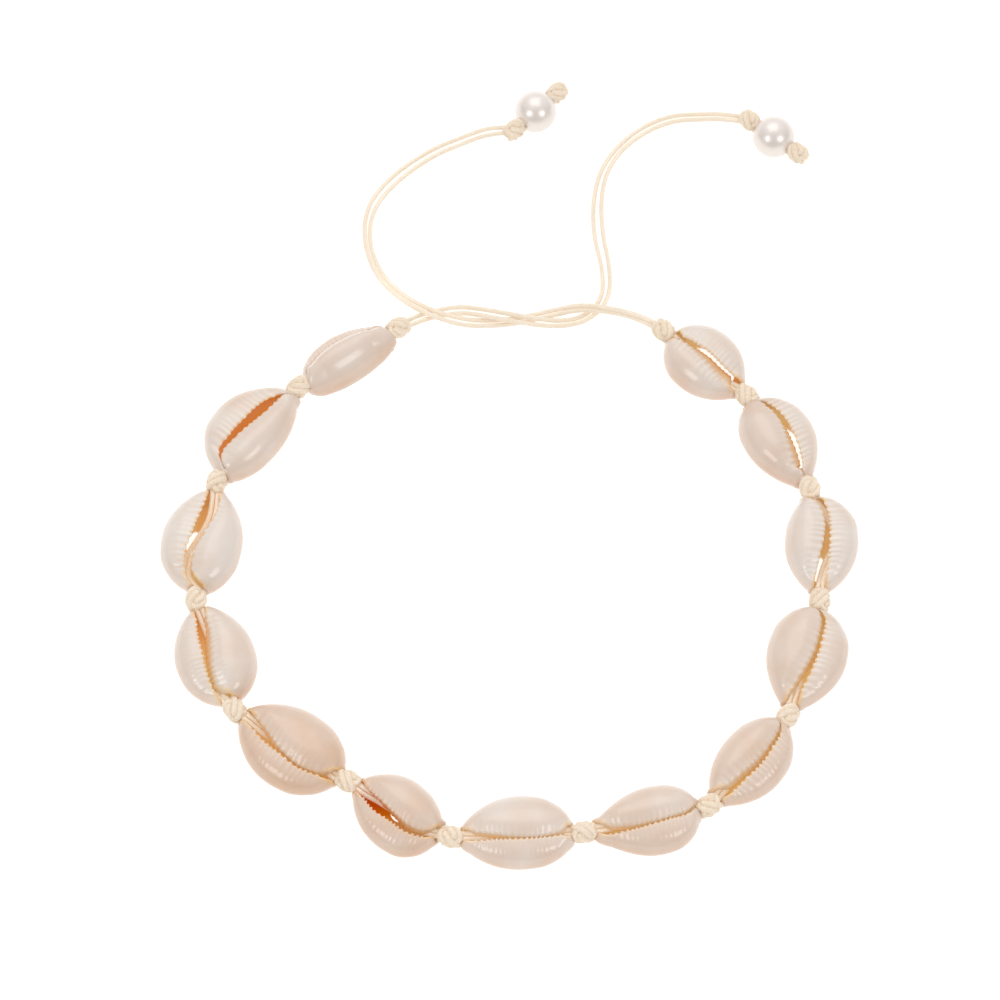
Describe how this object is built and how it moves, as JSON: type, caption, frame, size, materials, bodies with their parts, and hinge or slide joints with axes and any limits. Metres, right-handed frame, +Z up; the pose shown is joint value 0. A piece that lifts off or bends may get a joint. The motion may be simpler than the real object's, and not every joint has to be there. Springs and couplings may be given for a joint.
{
  "type": "cowrie shell necklace",
  "caption": "Choker of cut cowrie shells, aperture up, on a doubled waxed cord knotted between shells and tied with two pearl-ended free ends.",
  "frame": {"origin": "middle of the loop of shells, on the surface it lies on", "axes": "+Z up from the surface; +X across the loop of shells, its longest way; +Y from the far side of the loop towards the tie"},
  "size_m": [0.1279, 0.1603, 0.008],
  "materials": {
    "shell": "polished natural shell",
    "cord": "waxed cord",
    "pearl": "pearl lustre"
  },
  "bodies": {
    "root": {"shell_01": "shell", "shell_02": "shell", "shell_03": "shell", "shell_04": "shell", "shell_05": "shell", "shell_06": "shell", "shell_07": "shell", "shell_08": "shell", "shell_09": "shell", "shell_10": "shell", "shell_11": "shell", "shell_12": "shell", "shell_13": "shell", "knot_01": "cord", "knot_02": "cord", "knot_03": "cord", "knot_04": "cord", "knot_05": "cord", "knot_06": "cord", "knot_07": "cord", "knot_08": "cord", "knot_09": "cord", "knot_10": "cord", "knot_11": "cord", "knot_12": "cord", "knot_13": "cord", "knot_14": "cord", "string_outer": "cord", "string_inner": "cord", "tie_left_upper": "cord", "tie_left_lower": "cord", "tie_right_upper": "cord", "tie_right_lower": "cord", "pearl_left_knot_near": "cord", "pearl_left_knot_far": "cord", "pearl_right_knot_near": "cord", "pearl_right_knot_far": "cord", "pearl_left_strand_inner": "cord", "pearl_left_strand_outer": "cord", "pearl_right_strand_inner": "cord", "pearl_right_strand_outer": "cord", "pearl_left": "pearl", "pearl_right": "pearl"}
  },
  "joints": []
}
